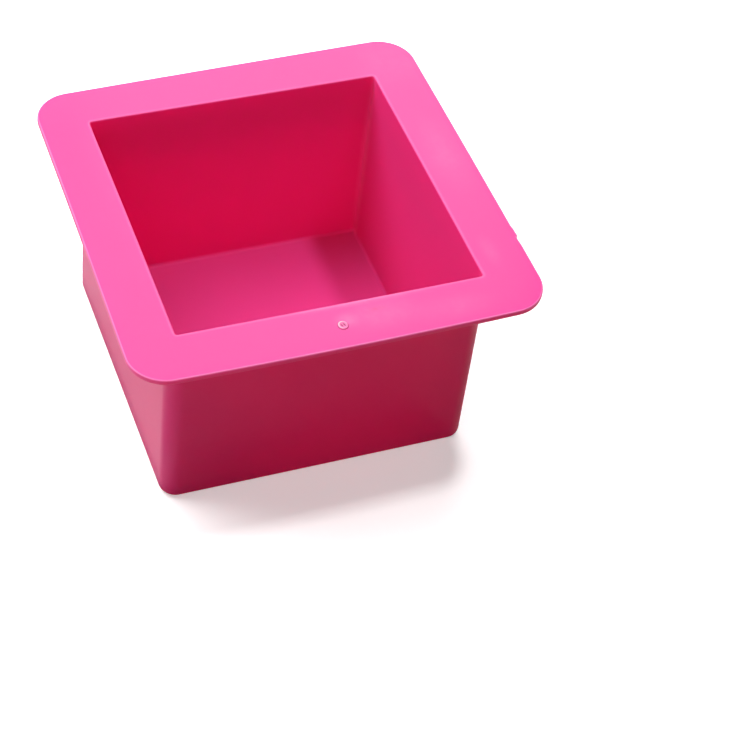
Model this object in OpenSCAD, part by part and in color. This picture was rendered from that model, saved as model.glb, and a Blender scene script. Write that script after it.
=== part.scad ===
// Square soap and resin loaf mould: one silicone moulding with a deep cavity and a flat rim.
// The moulding is divided into the regions that bend against each other when it is emptied:
// the floor, the foot of each wall, four wall panels, four corner posts and the rim round them.
// Origin: middle of the underside. +Z is up, and the front is towards -Y.

/* [Cavity] */
// Side of the square opening, measured inside
opening = 100; // [60:1:160]
// Depth of the cavity below the rim's top face
cavity_depth = 72; // [40:1:120]

/* [Moulding] */
// Thickness of the four walls
wall_thick = 2.5; // [1.5:0.1:4]
// Thickness of the floor
floor_thick = 2.5; // [2.5:0.1:4]

/* [Rim] */
// Width of the flat top face, from the opening to the rim's outer edge
rim_width = 17; // [8:0.5:30]
// Thickness of the rim
rim_thick = 2; // [1:0.1:4]
// Radius of the rim's outer corners, seen from above
rim_corner_radius = 12; // [2:0.5:20]

/* [Rounding] */
// Radius of the upright outer corners
outer_corner_radius = 5.5; // [3:0.1:7]
// Radius of the edge round the underside
outer_bottom_radius = 2.5; // [0.5:0.1:2.5]
// Radius of the upright inner corners
inner_corner_radius = 0.8; // [0.2:0.1:3]
// Radius where the walls meet the floor, inside
inner_floor_radius = 1.2; // [0.5:0.1:3.2]

/* [Flex regions] */
// Length of wall that each stiff corner post takes, measured along the outside
post_leg = 8.5; // [8:0.5:14]
// Height of the stiff foot under each wall panel, above the floor
foot_rise = 3.5; // [3.3:0.1:8]

/* [Gate mark] */
// Diameter of the round mark that the injection gate leaves on the front rim
gate_diameter = 3.6; // [2:0.1:6]
// Height of the mark above the rim
gate_height = 0.35; // [0.2:0.05:1]

/* [Hidden] */

$fn = 64;

inner_half = opening / 2;
outer_half = inner_half + wall_thick;
rim_half = inner_half + rim_width;
// Where the wall panels end and the corner posts begin
post_half = outer_half - post_leg;
height = floor_thick + cavity_depth;
rim_underside = height - rim_thick;
foot_height = floor_thick + foot_rise;
// Centre of the upright outer corners' rounding
corner_centre = outer_half - outer_corner_radius;
// The gate mark is dished inside a narrow lip, to part of its height
gate_lip = 0.5;
gate_dish_depth = gate_height * 0.6;
gate_dish_half = gate_diameter / 2 - gate_lip;
gate_dish_radius = (pow(gate_dish_half, 2) + pow(gate_dish_depth, 2)) / (2 * gate_dish_depth);

rim_pink = "#FF69B4";
wall_pink = "#C8285F";
floor_pink = "#D62E68";
gate_pink = "#FF96CC";

// The four sides are the front one turned about Z, and the four corners are the rear right one turned
FRONT = 0;
RIGHT = 90;
REAR = 180;
LEFT = 270;
REAR_RIGHT = 0;
REAR_LEFT = 90;
FRONT_LEFT = 180;
FRONT_RIGHT = 270;

// A bar along X whose outline is drawn in the Y-Z plane, from x = start to x = end
module bar_along_x(start, end) {
    translate([start, 0, 0])
        rotate([90, 0, 90])
            linear_extrude(end - start)
                children();
}

// What a round of that radius leaves of a square corner, with the round's centre at the origin
module corner_gap(radius) {
    difference() {
        square(radius);
        circle(radius);
    }
}

// The same at the foot of a wall whose face is at `face`: the corner points outwards and down
module foot_gap(face, base, radius) {
    translate([face - radius, base + radius])
        mirror([0, 1])
            corner_gap(radius);
}

// A square from `low` to `high` on both axes, whose far corner is rounded
module rounded_corner_outline(low, high, radius) {
    difference() {
        translate([low, low]) square(high - low);
        translate([high - radius, high - radius]) corner_gap(radius);
    }
}

// Outline of a wall's foot, counted outwards from the middle of the mould: its share of the floor,
// the wall above it up to `top`, the round outer edge and the fillet inside
module foot_outline(top) {
    difference() {
        union() {
            translate([post_half, 0]) square([outer_half - post_half, floor_thick]);
            translate([inner_half, 0]) square([wall_thick, top]);
            foot_gap(inner_half, floor_thick, inner_floor_radius);
        }
        foot_gap(outer_half, 0, outer_bottom_radius);
    }
}

// The middle of the floor, which is pushed up to free what was cast
module floor_region() {
    translate([-post_half, -post_half, 0])
        cube([2 * post_half, 2 * post_half, floor_thick]);
}

// The stiff foot of the front wall, with its share of the floor
module foot_region() {
    mirror([0, 1, 0])
        bar_along_x(-post_half, post_half)
            foot_outline(foot_height);
}

// The front wall's panel, from its foot to the top face
module wall_region() {
    translate([-post_half, -outer_half, foot_height])
        cube([2 * post_half, wall_thick, height - foot_height]);
}

// The rim that stands out from the front wall
module rim_region() {
    translate([-post_half, -rim_half, rim_underside])
        cube([2 * post_half, rim_half - outer_half, rim_thick]);
}

// The floor under a corner post, whose lower edge is rounded, swept round the upright corner
module post_floor_sweep() {
    translate([corner_centre, corner_centre, 0])
        rotate_extrude(angle = 90)
            difference() {
                square([outer_corner_radius, floor_thick]);
                foot_gap(outer_corner_radius, 0, outer_bottom_radius);
            }
}

// The floor, foot and fillet of the leg that runs along X
module post_leg_foot() {
    bar_along_x(post_half, corner_centre)
        foot_outline(foot_height);
    bar_along_x(post_half, inner_half)
        foot_gap(inner_half, floor_thick, inner_floor_radius);
}

// The rear right corner post: two short legs of wall that meet at the rounded corner,
// standing on their share of the floor
module corner_post_region() {
    translate([0, 0, floor_thick])
        linear_extrude(height - floor_thick)
            difference() {
                rounded_corner_outline(post_half, outer_half, outer_corner_radius);
                rounded_corner_outline(post_half, inner_half, inner_corner_radius);
            }
    post_floor_sweep();
    post_leg_foot();
    mirror([1, -1, 0]) post_leg_foot();
}

// The rim's rear right corner, an L round the corner post
module rim_corner_region() {
    translate([0, 0, rim_underside])
        linear_extrude(rim_thick)
            difference() {
                rounded_corner_outline(post_half, rim_half, rim_corner_radius);
                rounded_corner_outline(post_half, outer_half, outer_corner_radius);
            }
}

module floor_panel() { color(floor_pink) floor_region(); }

module foot_front() { color(wall_pink) rotate(FRONT) foot_region(); }
module foot_right() { color(wall_pink) rotate(RIGHT) foot_region(); }
module foot_rear() { color(wall_pink) rotate(REAR) foot_region(); }
module foot_left() { color(wall_pink) rotate(LEFT) foot_region(); }

module wall_front() { color(wall_pink) rotate(FRONT) wall_region(); }
module wall_right() { color(wall_pink) rotate(RIGHT) wall_region(); }
module wall_rear() { color(wall_pink) rotate(REAR) wall_region(); }
module wall_left() { color(wall_pink) rotate(LEFT) wall_region(); }

module corner_post_rear_right() { color(wall_pink) rotate(REAR_RIGHT) corner_post_region(); }
module corner_post_rear_left() { color(wall_pink) rotate(REAR_LEFT) corner_post_region(); }
module corner_post_front_left() { color(wall_pink) rotate(FRONT_LEFT) corner_post_region(); }
module corner_post_front_right() { color(wall_pink) rotate(FRONT_RIGHT) corner_post_region(); }

module rim_front() { color(rim_pink) rotate(FRONT) rim_region(); }
module rim_right() { color(rim_pink) rotate(RIGHT) rim_region(); }
module rim_rear() { color(rim_pink) rotate(REAR) rim_region(); }
module rim_left() { color(rim_pink) rotate(LEFT) rim_region(); }

module rim_corner_rear_right() { color(rim_pink) rotate(REAR_RIGHT) rim_corner_region(); }
module rim_corner_rear_left() { color(rim_pink) rotate(REAR_LEFT) rim_corner_region(); }
module rim_corner_front_left() { color(rim_pink) rotate(FRONT_LEFT) rim_corner_region(); }
module rim_corner_front_right() { color(rim_pink) rotate(FRONT_RIGHT) rim_corner_region(); }

// A low round boss, dished on top, in the middle of the front rim
module gate_mark() {
    color(gate_pink)
        translate([0, -(inner_half + rim_width / 2), height])
            difference() {
                cylinder(d = gate_diameter, h = gate_height);
                translate([0, 0, gate_height - gate_dish_depth + gate_dish_radius])
                    sphere(gate_dish_radius);
            }
}

floor_panel();
foot_front();
foot_right();
foot_rear();
foot_left();
wall_front();
wall_right();
wall_rear();
wall_left();
corner_post_rear_right();
corner_post_rear_left();
corner_post_front_left();
corner_post_front_right();
rim_front();
rim_right();
rim_rear();
rim_left();
rim_corner_rear_right();
rim_corner_rear_left();
rim_corner_front_left();
rim_corner_front_right();
gate_mark();
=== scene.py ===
import math

import bpy
import numpy as np
from mathutils import Matrix, Vector


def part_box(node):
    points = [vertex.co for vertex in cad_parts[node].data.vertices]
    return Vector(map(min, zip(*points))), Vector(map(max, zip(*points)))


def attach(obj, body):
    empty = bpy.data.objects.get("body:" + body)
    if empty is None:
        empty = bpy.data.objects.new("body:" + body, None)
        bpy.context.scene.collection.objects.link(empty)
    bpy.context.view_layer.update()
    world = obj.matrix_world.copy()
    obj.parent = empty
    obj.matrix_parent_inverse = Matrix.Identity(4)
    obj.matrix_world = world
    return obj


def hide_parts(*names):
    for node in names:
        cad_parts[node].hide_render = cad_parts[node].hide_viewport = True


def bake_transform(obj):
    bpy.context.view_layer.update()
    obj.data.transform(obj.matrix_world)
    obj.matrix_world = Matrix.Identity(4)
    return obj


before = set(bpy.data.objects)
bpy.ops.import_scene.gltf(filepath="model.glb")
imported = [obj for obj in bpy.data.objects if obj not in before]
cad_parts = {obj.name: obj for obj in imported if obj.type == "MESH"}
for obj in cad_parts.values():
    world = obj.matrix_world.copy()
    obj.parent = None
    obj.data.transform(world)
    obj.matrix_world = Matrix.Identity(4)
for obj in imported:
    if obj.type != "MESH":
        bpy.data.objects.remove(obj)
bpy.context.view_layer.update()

MM = 0.001

# ---------------------------------------------------------------- sizes, from the CAD frame
wall_low, wall_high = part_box("wall_front")
rim_low, rim_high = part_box("rim_front")
floor_low, floor_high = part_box("floor_panel")
gate_low, gate_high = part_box("gate_mark")

INNER = -wall_high.y  # half the opening
OUTER = -wall_low.y  # half the body, outside
RIM = -rim_low.y  # half the rim, outside
POST = wall_high.x  # where the wall panels end and the corner posts begin
TOP = wall_high.z  # top face
RIM_UNDER = rim_low.z  # underside of the rim
FOOT = wall_low.z  # top of the stiff foot, where the walls flex
FLOOR_TOP = floor_high.z
GATE = (gate_low + gate_high) / 2
GATE_RADIUS = (gate_high.x - gate_low.x) / 2

# Radii of the moulding, as in the CAD model
OUTER_CORNER = 5.5 * MM
INNER_CORNER = 0.8 * MM
RIM_CORNER = 12 * MM
BOTTOM_EDGE = 2.5 * MM
FLOOR_FILLET = 1.2 * MM
# Finer roundings that only the skin has
OPENING_EDGE = 0.5 * MM
RIM_TOP_EDGE = 0.5 * MM
RIM_LOWER_EDGE = 0.5 * MM
RIM_FILLET = 0.9 * MM

# Mesh density
ROW_STEP = 2.2 * MM  # longest step along a straight stretch of the section
COLUMN_STEP = 1.0 * MM  # step along a wall
FINE_STEP = 0.25 * MM  # step along the half wall that has the nick
POST_COLUMNS = 3
CORNER_COLUMNS = 14
SECTORS = 12
SECTOR_COLUMNS = 8
SECTOR_ROWS = 22
SAME_POINT = 1e-6  # points closer than this are one

SIDES = ["front", "right", "rear", "left"]
CORNERS = ["front_right", "rear_right", "rear_left", "front_left"]


# ---------------------------------------------------------------- how the soft moulding lies
# Silicone never lies quite square. All of these are in mm.
CORNER_SHIFTS = {  # how far each rim corner is from its true place
    (-1, 1): (1.55, -1.15, -0.7),
    (1, 1): (0.05, 0.65, 0.4),
    (1, -1): (0.55, 0.3, 0.35),
    (-1, -1): (-0.45, -0.05, 0.1),
}
WALL_BOWS = {"front": 0.1, "right": 0.15, "rear": -0.1, "left": -0.2}  # outwards, at the top
RIM_STRETCHES = {"front": 1.45, "right": 0.05, "rear": 0.45, "left": -0.05}  # outwards, at its edge

# A small flash left on the rim's right edge, which ends in a nick
NICK_ALONG = [-41.0, -36.7, -36.1, -33.0, -31.0]
NICK_OUT = [0.0, -0.3, 0.35, 0.25, 0.0]
NICK_REACH = 1.6 * MM  # how far in from the edge it pulls the rim along

SQUARENESS = 8  # power of the norm that measures how far out a point is
OPENING_SHARE = 0.25  # of a corner's shift, that the walls get at the top
BOW_START = 0.4  # share of the way out where a bow begins
STRETCH_FADE = 0.6  # of a stretch, lost between the middle of a side and its corners


def smooth(value):
    t = np.clip(value, 0, 1)
    return t * t * (3 - 2 * t)


def settled(points):
    """Points of the true shape, moved to where the soft moulding has them."""
    p = np.array(points)
    x, y, z = p[..., 0], p[..., 1], p[..., 2]
    moved = p.copy()
    height = (np.clip(z, 0, None) / TOP) ** 2
    reach = (np.abs(x) ** SQUARENESS + np.abs(y) ** SQUARENESS) ** (1 / SQUARENESS)
    on_rim = smooth((reach - INNER) / (RIM - INNER))
    flange = OPENING_SHARE + (1 - OPENING_SHARE) * on_rim
    for (sx, sy), shift in CORNER_SHIFTS.items():
        share = (1 + sx * x / RIM) * (1 + sy * y / RIM) / 4
        for axis in range(3):
            moved[..., axis] += share * flange * height * shift[axis] * MM
    for side, axis, sign in zip(SIDES, (1, 0, 1, 0), (-1, 1, 1, -1)):
        out, along = sign * p[..., axis], p[..., 1 - axis] / RIM
        bow = smooth((out / OUTER - BOW_START) / (1 - BOW_START))
        bow = bow * np.clip(1 - along**2, 0, 1) ** 2
        moved[..., axis] += sign * bow * height * WALL_BOWS[side] * MM
        overhang = np.clip((out - INNER) / (RIM - INNER), 0, 1)
        swell = 1 - STRETCH_FADE * along**2
        moved[..., axis] += sign * overhang * swell * RIM_STRETCHES[side] * MM
    nick = np.interp(y / MM, NICK_ALONG, NICK_OUT) * smooth((x - RIM) / NICK_REACH + 1)
    moved[..., 0] += nick * (z > RIM_UNDER - SAME_POINT) * MM
    return moved


# ---------------------------------------------------------------- the section of the moulding
def straight(start, end):
    """Points of a straight stretch of the section, without the first."""
    start, end = np.array(start), np.array(end)
    steps = max(1, math.ceil(np.linalg.norm(end - start) / ROW_STEP))
    return [tuple(start + (end - start) * i / steps) for i in range(1, steps + 1)]


def arc(centre, radius, first, last, steps=6):
    """Points of a round stretch between two angles in degrees, without the first."""
    angles = [math.radians(first + (last - first) * i / steps) for i in range(1, steps + 1)]
    return [(centre[0] + radius * math.cos(a), centre[1] + radius * math.sin(a)) for a in angles]


def chain(start, *stretches):
    """Points of a section. A stretch is the end of a straight line, or an arc's points."""
    points = [start]
    for s in stretches:
        points += s if isinstance(s, list) else straight(points[-1], s)
    return points


# Each stretch of the section is a list of (distance out from the middle, height).
INNER_FOOT = chain(
    (POST, FLOOR_TOP),
    (INNER - FLOOR_FILLET, FLOOR_TOP),
    arc((INNER - FLOOR_FILLET, FLOOR_TOP + FLOOR_FILLET), FLOOR_FILLET, -90, 0),
    (INNER, FOOT),
)
INNER_WALL = chain(
    (INNER, FOOT),
    (INNER, TOP - OPENING_EDGE),
    arc((INNER + OPENING_EDGE, TOP - OPENING_EDGE), OPENING_EDGE, 180, 90, 4),
    (OUTER, TOP),
)
RIM_SECTION = chain(
    (OUTER, TOP),
    (RIM - RIM_TOP_EDGE, TOP),
    arc((RIM - RIM_TOP_EDGE, TOP - RIM_TOP_EDGE), RIM_TOP_EDGE, 90, 0),
    (RIM, RIM_UNDER + RIM_LOWER_EDGE),
    arc((RIM - RIM_LOWER_EDGE, RIM_UNDER + RIM_LOWER_EDGE), RIM_LOWER_EDGE, 0, -90, 4),
    (OUTER + RIM_FILLET, RIM_UNDER),
    arc((OUTER + RIM_FILLET, RIM_UNDER - RIM_FILLET), RIM_FILLET, 90, 180, 5),
)
OUTER_WALL = chain((OUTER, RIM_UNDER - RIM_FILLET), (OUTER, FOOT))
OUTER_FOOT = chain(
    (OUTER, FOOT),
    (OUTER, BOTTOM_EDGE),
    arc((OUTER - BOTTOM_EDGE, BOTTOM_EDGE), BOTTOM_EDGE, 0, -90),
    (POST, 0.0),
)


def corner_radius(out, z):
    """Radius of the moulding's upright corner where the section is `out` from the middle."""
    if z > TOP - RIM_TOP_EDGE and out >= INNER:
        known = [
            (INNER, INNER_CORNER),
            (INNER + OPENING_EDGE, INNER_CORNER + OPENING_EDGE),
            (RIM - RIM_TOP_EDGE, RIM_CORNER - RIM_TOP_EDGE),
            (RIM, RIM_CORNER),
        ]
    elif z > RIM_UNDER - RIM_FILLET / 2 and out > OUTER:
        known = [
            (OUTER, OUTER_CORNER),
            (OUTER + RIM_FILLET, OUTER_CORNER + RIM_FILLET),
            (RIM - RIM_LOWER_EDGE, RIM_CORNER - RIM_LOWER_EDGE),
            (RIM, RIM_CORNER),
        ]
    elif z >= FLOOR_TOP and out <= INNER:
        known = [(INNER - INNER_CORNER, 0.0), (INNER, INNER_CORNER)]
    else:
        known = [(OUTER - OUTER_CORNER, 0.0), (OUTER, OUTER_CORNER), (OUTER + 1, OUTER_CORNER + 1)]
    return float(np.interp(out, [k[0] for k in known], [k[1] for k in known]))


# ---------------------------------------------------------------- sheets of the skin
def turned(points, quarter):
    """Points turned by quarters about Z: the front becomes the right side, and so on."""
    c, s = [(1, 0), (0, 1), (-1, 0), (0, -1)][quarter % 4]
    x, y = points[..., 0], points[..., 1]
    return np.stack([c * x - s * y, s * x + c * y, points[..., 2]], -1)


def side_grid(section, start, end, quarter, step=COLUMN_STEP):
    """Columns of the section along a wall, from `start` to `end`."""
    along = np.linspace(start, end, round(abs(end - start) / step) + 1)
    grid = np.array([[(t, -out, z) for out, z in section] for t in along])
    return turned(grid, quarter)


def corner_grid(section, quarter):
    """Columns of the section round the corner that follows a wall."""
    rows = []
    for out, z in section:
        radius = corner_radius(out, z)
        centre = out - radius
        steps = range(POST_COLUMNS + 1)
        before = [(POST + (centre - POST) * i / POST_COLUMNS, -out) for i in steps]
        turns = [-math.pi / 2 * (1 - i / CORNER_COLUMNS) for i in range(1, CORNER_COLUMNS)]
        middle = [(centre + radius * math.cos(a), -centre + radius * math.sin(a)) for a in turns]
        after = [(-y, -x) for x, y in reversed(before)]
        rows.append([(x, y, z) for x, y in before + middle + after])
    return turned(np.array(rows).swapaxes(0, 1), quarter)


def sector_grid(index, z):
    """The part of the floor between two lines from its middle to its square edge."""
    middle = 2 * math.pi * index / SECTORS
    half = math.pi / SECTORS
    angles = np.linspace(middle - half, middle + half, SECTOR_COLUMNS + 1)
    c, s = np.cos(angles), np.sin(angles)
    edge = POST / np.maximum(np.abs(c), np.abs(s))
    share = np.linspace(0, 1, SECTOR_ROWS + 1)[:, None]
    return np.stack([share * edge * c, share * edge * s, np.full((len(share), len(c)), z)], -1)


# ---------------------------------------------------------------- meshes
shared_normals = {}
skins = []


def key_of(point):
    return tuple(round(v / SAME_POINT) for v in point)


class Sheet:
    """Vertices and faces made from grids. Equal points become one vertex."""

    def __init__(self):
        self.points, self.faces, self.found = [], [], {}

    def vertex(self, point):
        key = key_of(point)
        if key not in self.found:
            self.found[key] = len(self.points)
            self.points.append(tuple(point))
        return self.found[key]

    def add(self, grid, flip=False):
        ids = [[self.vertex(p) for p in column] for column in grid]
        for a, b in zip(ids, ids[1:]):
            for i in range(len(a) - 1):
                face = list(dict.fromkeys([a[i], a[i + 1], b[i + 1], b[i]]))
                if len(face) > 2:
                    self.faces.append(face[::-1] if flip else face)
        return self

    def piece(self, name, material, slot, skin=True):
        mesh = bpy.data.meshes.new(name)
        true_points = np.array(self.points)
        points = settled(true_points)
        mesh.from_pydata(points.tolist(), [], self.faces)
        mesh.polygons.foreach_set("use_smooth", [True] * len(mesh.polygons))
        place = mesh.attributes.new("place", "FLOAT_VECTOR", "POINT")
        place.data.foreach_set("vector", true_points.ravel())
        mesh.materials.append(material)
        obj = bpy.data.objects.new(name, mesh)
        bpy.context.scene.collection.objects.link(obj)
        if skin:
            skins.append((obj, [key_of(p) for p in self.points]))
            for polygon in mesh.polygons:
                weighted = np.array(polygon.normal) * polygon.area
                for v in polygon.vertices:
                    key = skins[-1][1][v]
                    shared_normals[key] = shared_normals.get(key, 0) + weighted
        return obj


def share_normals():
    """Gives the pieces one common normal where they meet, so that no seam shows."""
    for obj, keys in skins:
        normals = [Vector(shared_normals[k]).normalized() for k in keys]
        obj.data.normals_split_custom_set_from_vertices(normals)


# ---------------------------------------------------------------- materials
class Graph:
    """Makes the nodes of one material."""

    def __init__(self, name):
        self.material = bpy.data.materials.new(name)
        self.material.use_nodes = True
        self.tree = self.material.node_tree
        self.shader = self.tree.nodes["Principled BSDF"]

    def node(self, kind, inputs=(), **settings):
        node = self.tree.nodes.new(kind)
        for key, value in settings.items():
            setattr(node, key, value)
        for key, value in dict(inputs).items():
            self.put(node.inputs[key], value)
        return node

    def put(self, socket, value):
        if isinstance(value, bpy.types.NodeSocket):
            self.tree.links.new(value, socket)
        else:
            socket.default_value = value

    def math(self, operation, *values, clamp=False):
        node = self.node("ShaderNodeMath", operation=operation, use_clamp=clamp)
        for socket, value in zip(node.inputs, values):
            self.put(socket, value)
        return node.outputs[0]

    def vector(self, operation, *values):
        inputs = dict(enumerate(values))
        return self.node("ShaderNodeVectorMath", inputs, operation=operation).outputs[0]

    def noise(self, vector, scale, detail=2.0, roughness=0.5):
        inputs = {"Vector": vector, "Scale": scale, "Detail": detail, "Roughness": roughness}
        return self.node("ShaderNodeTexNoise", inputs).outputs["Fac"]

    def spread(self, value, low, high, new_low=0.0, new_high=1.0):
        inputs = {0: value, 1: low, 2: high, 3: new_low, 4: new_high}
        return self.node("ShaderNodeMapRange", inputs, interpolation_type="SMOOTHSTEP").outputs[0]

    def mix(self, factor, a, b):
        node = self.node("ShaderNodeMix", data_type="RGBA")
        self.put(node.inputs[0], factor)
        self.put(node.inputs[6], a)
        self.put(node.inputs[7], b)
        return node.outputs[2]

    def spot(self, place, centre, radii):
        """1 at a centre in mm, falling to 0 at the radii in mm."""
        mapping = self.node("ShaderNodeMapping", {"Vector": place}, vector_type="POINT")
        scale = [1 / (r * MM) for r in radii]
        mapping.inputs["Scale"].default_value = scale
        mapping.inputs["Location"].default_value = [-c * MM * s for c, s in zip(centre, scale)]
        length = self.node("ShaderNodeVectorMath", {0: mapping.outputs[0]}, operation="LENGTH")
        return self.spread(length.outputs["Value"], 1.0, 0.0)

    def beyond(self, place, half, radius):
        """How far a place is outside an upright tube with four walls and round corners."""
        flat = half - radius
        past = self.vector("SUBTRACT", self.vector("ABSOLUTE", place), (flat, flat, 1.0))
        past = self.vector("MAXIMUM", past, (0.0, 0.0, 0.0))
        length = self.node("ShaderNodeVectorMath", {0: past}, operation="LENGTH")
        return self.math("SUBTRACT", length.outputs["Value"], radius)


PINK = (0.925, 0.061, 0.37, 1)
PALE_AND_HIGHLIGHT_PINK = (1.0, 0.24, 0.56, 1)
# Colour of the painted highlight on the rim's top edge and the opening's lip
EDGE_HIGHLIGHT_PINK = (1.0, 0.36, 0.8, 1)
CLOUD_PINK = (0.9, 0.09, 0.37, 1)
SMEAR = (0.42, 0.06, 0.2, 1)
GATE_DULL = (0.95, 0.26, 0.58, 1)
GATE_WHITE_AND_HIGHLIGHT = (1.0, 0.85, 1.0, 1)
GATE_PIT_SHADE = (0.2, 0.02, 0.12, 1)
GLOW = (0.82, 0.038, 0.25, 1)  # light that has come through the silicone
PASSING = 0.42  # share of the light that goes on through the silicone
IOR = 1.35
DULL, SATIN = 0.6, 0.3  # roughness in the cavity, and on the rim and the outside
WAVES, GRAIN = 2.0, 0.35  # heights of the broad unevenness and of the fine grain
BUMP_STRENGTH, BUMP_DEPTH = 0.35, 0.1 * MM

TOP_MM = TOP / MM
# Pale spots: those round the gate are stressed, whitened silicone; the long strip on the opening's
# front lip and the patches on the right and rear rim are painted highlights
WHITENING_AND_HIGHLIGHT_SPOTS = [  # centre and radii in mm, strength
    ((1.8, -56.8, TOP_MM), (5.5, 4.0, 3.0), 0.55),
    ((14.0, -57.0, TOP_MM), (16.0, 8.0, 3.0), 0.35),
    ((8.0, -50.4, TOP_MM), (34.0, 2.2, 3.0), 0.5),
    ((36.0, -60.0, TOP_MM), (18.0, 7.0, 3.0), 0.2),
    ((59.0, 6.0, TOP_MM), (9.0, 26.0, 3.0), 0.22),
    ((56.0, -40.0, TOP_MM), (4.0, 9.0, 3.0), 0.25),
    ((58.0, 56.0, TOP_MM), (18.0, 18.0, 3.0), 0.15),
]
SMEAR_SPOT = (12.4, -54.6, TOP_MM), (4.0, 1.2, 2.0)
SMEAR_SHARE = 0.45
# Painted light: a paler band down each upright inner corner
CORNER_LIGHT_SPOT = (49.8, 48.6, 38.0), (2.2, 3.4, 60.0)  # the same in all four corners
CORNER_LIGHT_SHARE = 0.55
# Heights above the rim's top face between which the gate's colour changes: the crest is paler,
# partly whitening and partly painted highlight, and the low parts get painted shade
GATE_CREST = 0.23 * MM, 0.38 * MM
GATE_SHADE_HEIGHTS = 0.18 * MM, 0.06 * MM


def whitening_and_highlights(g, place):
    """Paler where the melt was stressed round the gate, with painted highlights on the opening's
    front lip and on the rim.
    """
    whitened_and_lit = 0.0
    for centre, radii, strength in WHITENING_AND_HIGHLIGHT_SPOTS:
        whitened_and_lit = g.math("ADD", whitened_and_lit, g.math("MULTIPLY", g.spot(place, centre, radii), strength))
    streaks = g.spread(g.noise(place, 220, 4, 0.6), 0.3, 0.75, 0.6, 1.2)
    return g.math("MULTIPLY", whitened_and_lit, streaks, clamp=True)


def painted_edge_highlights(g, place, height, opening):
    """Painted highlight: a pale line along the rim's rounded top edge and along the lip of the
    opening.
    """
    near_top = g.spread(height, TOP - 0.4 * MM, TOP - 0.12 * MM)
    near_edge = g.spread(g.beyond(place, RIM, RIM_CORNER), -0.65 * MM, -0.3 * MM)
    rim_highlight = g.math("MULTIPLY", near_edge, g.spread(near_top, 0, 1, 0.28, 0.75))
    lip_highlight = g.math("MULTIPLY", g.spread(opening, 1.4 * MM, 0.2 * MM, 0, 0.3), near_top)
    return g.math("MAXIMUM", rim_highlight, lip_highlight)


def silicone(name, gate=False):
    """Satin silicone, with what its colour needs at each place of the mould."""
    g = Graph(name)
    place = g.node("ShaderNodeAttribute", attribute_name="place").outputs["Vector"]
    height = g.node("ShaderNodeSeparateXYZ", {0: place}).outputs["Z"]
    opening = g.beyond(place, INNER, INNER_CORNER)
    # Cloudy mottling of the pigment
    clouds = g.spread(g.noise(place, 45, 3), 0.35, 0.7, 0.0, 0.10)
    colour = g.mix(clouds, PINK, CLOUD_PINK)
    # Paler round the gate where the melt was stressed, and painted highlights on the lip and the
    # rim
    colour = g.mix(whitening_and_highlights(g, place), colour, PALE_AND_HIGHLIGHT_PINK)
    # Painted highlight along the rim's top edge and the lip of the opening
    colour = g.mix(painted_edge_highlights(g, place, height, opening), colour, EDGE_HIGHLIGHT_PINK)
    # Painted light: the upright inner corners are painted paler, as a lit band
    corner = g.spot(g.vector("ABSOLUTE", place), *CORNER_LIGHT_SPOT)
    colour = g.mix(g.math("MULTIPLY", corner, CORNER_LIGHT_SHARE), colour, PALE_AND_HIGHLIGHT_PINK)
    # A rubbed grey smear beside the opening
    smear = g.spread(g.noise(place, 900, 3), 0.3, 0.6)
    smear = g.math("MULTIPLY", g.spot(place, *SMEAR_SPOT), smear)
    colour = g.mix(g.math("MULTIPLY", smear, SMEAR_SHARE), colour, SMEAR)
    if gate:
        # Paler crest: partly the whitening of the torn silicone, partly painted highlight where the
        # crest stands high
        crest = g.spread(height, *[TOP + above for above in GATE_CREST])
        colour = g.mix(crest, GATE_DULL, GATE_WHITE_AND_HIGHLIGHT)
        # Painted shade: the pits and the low foot of the mark are painted dark
        low = g.spread(height, *[TOP + above for above in GATE_SHADE_HEIGHTS])
        colour = g.mix(low, colour, GATE_PIT_SHADE)
    g.put(g.shader.inputs["Base Color"], colour)
    g.put(g.shader.inputs["Roughness"], g.spread(opening, 0.1 * MM, 0.6 * MM, DULL, SATIN))
    g.shader.inputs["IOR"].default_value = IOR
    waves = g.math("MULTIPLY", g.noise(place, 60, 2), WAVES)
    grain = g.math("MULTIPLY", g.noise(place, 1600, 3, 0.6), GRAIN)
    relief = g.math("ADD", waves, grain)
    inputs = {"Height": relief, "Strength": BUMP_STRENGTH, "Distance": BUMP_DEPTH}
    bump = g.node("ShaderNodeBump", inputs)
    g.put(g.shader.inputs["Normal"], bump.outputs[0])
    through = g.node("ShaderNodeBsdfTranslucent", {"Color": GLOW})
    sides = {0: PASSING, 1: g.shader.outputs[0], 2: through.outputs[0]}
    both = g.node("ShaderNodeMixShader", sides)
    g.put(g.tree.nodes["Material Output"].inputs["Surface"], both.outputs[0])
    return g.material


RIM_SILICONE = silicone("silicone_rim")
BODY_SILICONE = silicone("silicone_body")
GATE_SILICONE = silicone("silicone_gate", gate=True)


# ---------------------------------------------------------------- pieces that stay with the shell
def shell_piece(sheet, name, node, material, slot):
    """A piece that rides on the shell in place of its CAD node."""
    piece = sheet.piece(name, material, slot)
    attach(piece, "shell")
    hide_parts(node)


for quarter, (side, corner) in enumerate(zip(SIDES, CORNERS)):
    foot = Sheet()
    foot.add(side_grid(INNER_FOOT, -POST, POST, quarter), flip=True)
    foot.add(side_grid(OUTER_FOOT, -POST, POST, quarter), flip=True)
    shell_piece(foot, f"skin_foot_{side}", f"foot_{side}", BODY_SILICONE, "silicone_body")
    post = Sheet()
    for section in (INNER_FOOT, INNER_WALL, OUTER_WALL, OUTER_FOOT):
        post.add(corner_grid(section, quarter), flip=True)
    node = f"corner_post_{corner}"
    shell_piece(post, f"skin_{node}", node, BODY_SILICONE, "silicone_body")
    rim_corner = Sheet().add(corner_grid(RIM_SECTION, quarter), flip=True)
    node = f"rim_corner_{corner}"
    shell_piece(rim_corner, f"skin_{node}", node, RIM_SILICONE, "silicone_rim")

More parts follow.
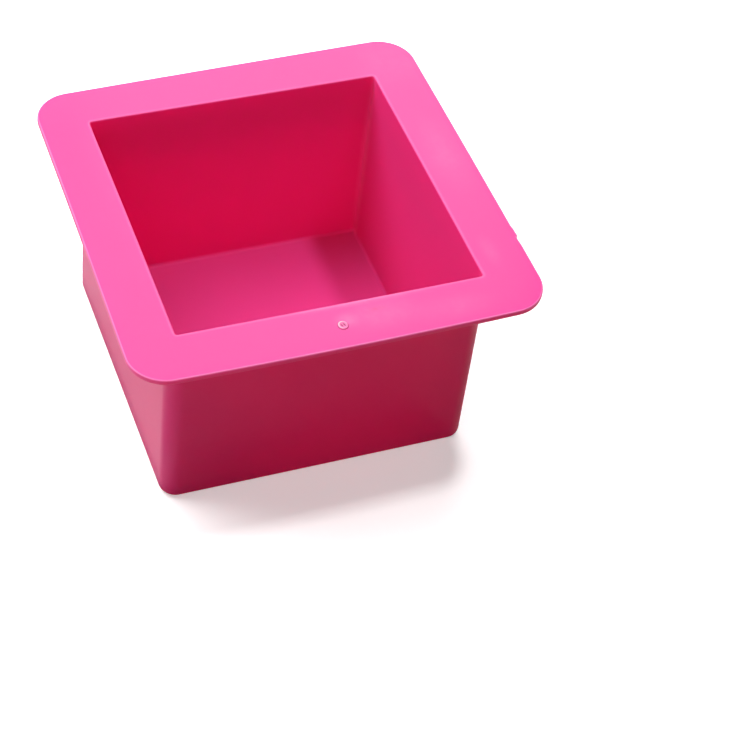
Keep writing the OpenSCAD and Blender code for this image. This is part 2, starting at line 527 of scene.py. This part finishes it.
# ---------------------------------------------------------------- walls
bending = []
for quarter, side in enumerate(SIDES):
    for hand, edge in (("a", -POST), ("b", POST)):
        has_nick = (side, hand) == ("right", "a")
        step = FINE_STEP if has_nick else COLUMN_STEP
        span = (edge, 0.0, quarter, step)
        wall = Sheet()
        wall.add(side_grid(INNER_WALL, *span), flip=edge < 0)
        wall.add(side_grid(OUTER_WALL, *span), flip=edge < 0)
        wall = wall.piece(f"skin_wall_{side}_{hand}", BODY_SILICONE, "silicone_body")
        rim = Sheet().add(side_grid(RIM_SECTION, *span), flip=edge < 0)
        rim = rim.piece(f"skin_rim_{side}_{hand}", RIM_SILICONE, "silicone_rim")
        bending += [(wall, side, quarter, edge), (rim, side, quarter, edge)]
        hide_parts(f"wall_{side}")
        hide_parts(f"rim_{side}")

# ---------------------------------------------------------------- floor, in sectors round its middle
sectors = []
for index in range(SECTORS):
    sector = Sheet()
    sector.add(sector_grid(index, FLOOR_TOP))
    sector.add(sector_grid(index, 0.0), flip=True)
    sectors.append(sector.piece(f"skin_floor_{index + 1:02d}", BODY_SILICONE, "silicone_body"))
    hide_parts("floor_panel")

share_normals()

for piece, side, quarter, edge in bending:
    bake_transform(piece)

for index, piece in enumerate(sectors):
    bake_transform(piece)


# ---------------------------------------------------------------- mark of the injection gate
# Heights and places in mm, from the rim's top face and the middle of the mark
CREST_RADIUS, CREST_WIDTH, CREST_HEIGHT = 1.35, 0.3, 0.11
DISH_HEIGHT, FLANK = 0.21, 0.45  # the dish inside the crest, and the slope outside it
SKIRT_RADIUS, SKIRT_WIDTH, SKIRT_DEPTH = 1.7, 0.1, 0.05  # sinks the rim of the mark into the face
PITS = [((-0.35, -0.05), 0.17), ((0.5, 0.1), 0.2)]  # place, depth
PIT_ALONG = np.array([0.35, -0.94])
PIT_HALF = (0.72, 0.27)
GATE_RINGS, GATE_TURNS = 44, 120


def gate_relief(x, y):
    """Height of the torn-off gate above the rim's top face, in mm."""
    radius, angle = np.hypot(x, y), np.arctan2(y, x)
    uneven = 1 + 0.75 * np.cos(angle - 2.5) + 0.15 * np.sin(3 * angle + 1)
    crest = CREST_HEIGHT * uneven * np.exp(-(((radius - CREST_RADIUS) / CREST_WIDTH) ** 2))
    height = DISH_HEIGHT * (1 - smooth((radius - CREST_RADIUS) / FLANK)) + crest
    across = np.array([-PIT_ALONG[1], PIT_ALONG[0]])
    for (px, py), depth in PITS:
        u = ((x - px) * PIT_ALONG[0] + (y - py) * PIT_ALONG[1]) / PIT_HALF[0]
        v = ((x - px) * across[0] + (y - py) * across[1]) / PIT_HALF[1]
        height = height - depth * np.exp(-(u**2 + v**2))
    return height - SKIRT_DEPTH * smooth((radius - SKIRT_RADIUS) / SKIRT_WIDTH)


rings = np.linspace(0, GATE_RADIUS / MM, GATE_RINGS + 1)[:, None]
turns = np.linspace(0, 2 * math.pi, GATE_TURNS + 1)
turns[-1] = 0
gate_x, gate_y = rings * np.cos(turns), rings * np.sin(turns)
gate_z = TOP + gate_relief(gate_x, gate_y) * MM
gate_grid = np.stack([GATE.x + gate_x * MM, GATE.y + gate_y * MM, gate_z], -1)
gate = Sheet().add(gate_grid)
gate = gate.piece("skin_gate_mark", GATE_SILICONE, "silicone_gate", skin=False)
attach(gate, "front_wall")
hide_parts("gate_mark")

# ---------------------------------------------------------------- camera
AZIMUTH, ELEVATION, ROLL = -26.25, 46.74, 8.3
DISTANCE = 0.691
SENSOR, LENS = 36, 103.8  # mm
TARGET = Vector((16.83, -51.86, 40)) * MM

camera_data = bpy.data.cameras.new("camera")
camera_data.sensor_width = SENSOR
camera_data.lens = LENS
camera = bpy.data.objects.new("camera", camera_data)
scene = bpy.context.scene
scene.collection.objects.link(camera)
scene.camera = camera


def direction(azimuth, elevation):
    a, e = math.radians(azimuth), math.radians(elevation)
    return Vector((math.sin(a) * math.cos(e), -math.cos(a) * math.cos(e), math.sin(e)))


back = direction(AZIMUTH, ELEVATION)
camera.location = TARGET + back * DISTANCE
tilt = (-back).to_track_quat("-Z", "Y").to_matrix() @ Matrix.Rotation(math.radians(ROLL), 3, "Z")
camera.rotation_mode = "QUATERNION"
camera.rotation_quaternion = tilt.to_quaternion()

# ---------------------------------------------------------------- studio
AMBIENT, BACKDROP = 0.03, 0.85  # what lights the mould, and what the camera sees behind it
FLOOR_ALBEDO, FLOOR_ROUGHNESS, FLOOR_GLOW = 0.9, 0.9, 0.4

scene.view_settings.view_transform = "Standard"
world = bpy.data.worlds.new("studio")
scene.world = world
world.use_nodes = True
background = world.node_tree.nodes["Background"]
background.inputs["Color"].default_value = (1, 1, 1, 1)
seen = world.node_tree.nodes.new("ShaderNodeLightPath").outputs["Is Camera Ray"]
strength = world.node_tree.nodes.new("ShaderNodeMapRange")
strength.inputs["To Min"].default_value = AMBIENT
strength.inputs["To Max"].default_value = BACKDROP
world.node_tree.links.new(seen, strength.inputs["Value"])
world.node_tree.links.new(strength.outputs[0], background.inputs["Strength"])

LIGHT_AIM = Vector((0, 0, 0.04))
LIGHTS = [  # name, azimuth, elevation, distance, width, height, watts
    ("softbox", 223, 58, 1.5, 1.2, 1.2, 31.0),
    ("strip_behind", 160, 41, 1.5, 0.6, 0.65, 9),
    ("fill_front", 335, 42, 1.5, 1.0, 1.0, 2.4),
    ("fill_left", 290, 20, 1.5, 0.8, 0.8, 1.8),
    ("key", 90, 74.5, 1.5, 0.14, 0.14, 8.9),
]


def area_light(name, location, toward, width, height, watts):
    """A rectangular light at a place, which shines against `toward`."""
    data = bpy.data.lights.new(name, "AREA")
    data.shape = "RECTANGLE"
    data.size, data.size_y = width, height
    data.energy = watts
    light = bpy.data.objects.new(name, data)
    light.location = location
    light.rotation_mode = "QUATERNION"
    light.rotation_quaternion = (-toward).to_track_quat("-Z", "Y")
    scene.collection.objects.link(light)
    return light


for name, azimuth, elevation, distance, width, height, watts in LIGHTS:
    toward = direction(azimuth, elevation)
    area_light(name, LIGHT_AIM + toward * distance, toward, width, height, watts)

# What the pale table throws back up at the left side. These lie on it and shine upwards.
TABLE = [  # name, place, width, height, watts, seen in gloss
    ("table_left", (-0.24, -0.06, 0.003), 0.3, 0.5, 0.34, False),
    ("table_near", (-0.0605, 0.0, 0.002), 0.013, 0.16, 0.003, True),
]
for name, place, width, height, watts, gloss in TABLE:
    card = area_light(name, Vector(place), Vector((0, 0, -1)), width, height, watts)
    card.visible_camera = False
    card.visible_glossy = gloss

bpy.ops.mesh.primitive_plane_add(size=6)
floor = bpy.context.active_object
floor.name = "studio_floor"
floor.location.z = -0.1 * MM  # just under the mould, so that the two faces don't coincide
g = Graph("studio_floor")
g.shader.inputs["Base Color"].default_value = (FLOOR_ALBEDO, FLOOR_ALBEDO, FLOOR_ALBEDO, 1)
g.shader.inputs["Roughness"].default_value = FLOOR_ROUGHNESS
# A little light of its own, which only the camera sees, keeps the shadows and the distance pale
seen = g.node("ShaderNodeLightPath").outputs["Is Camera Ray"]
g.shader.inputs["Emission Color"].default_value = (1, 1, 1, 1)
g.put(g.shader.inputs["Emission Strength"], g.math("MULTIPLY", seen, FLOOR_GLOW))
floor.data.materials.append(g.material)
floor.visible_diffuse = False
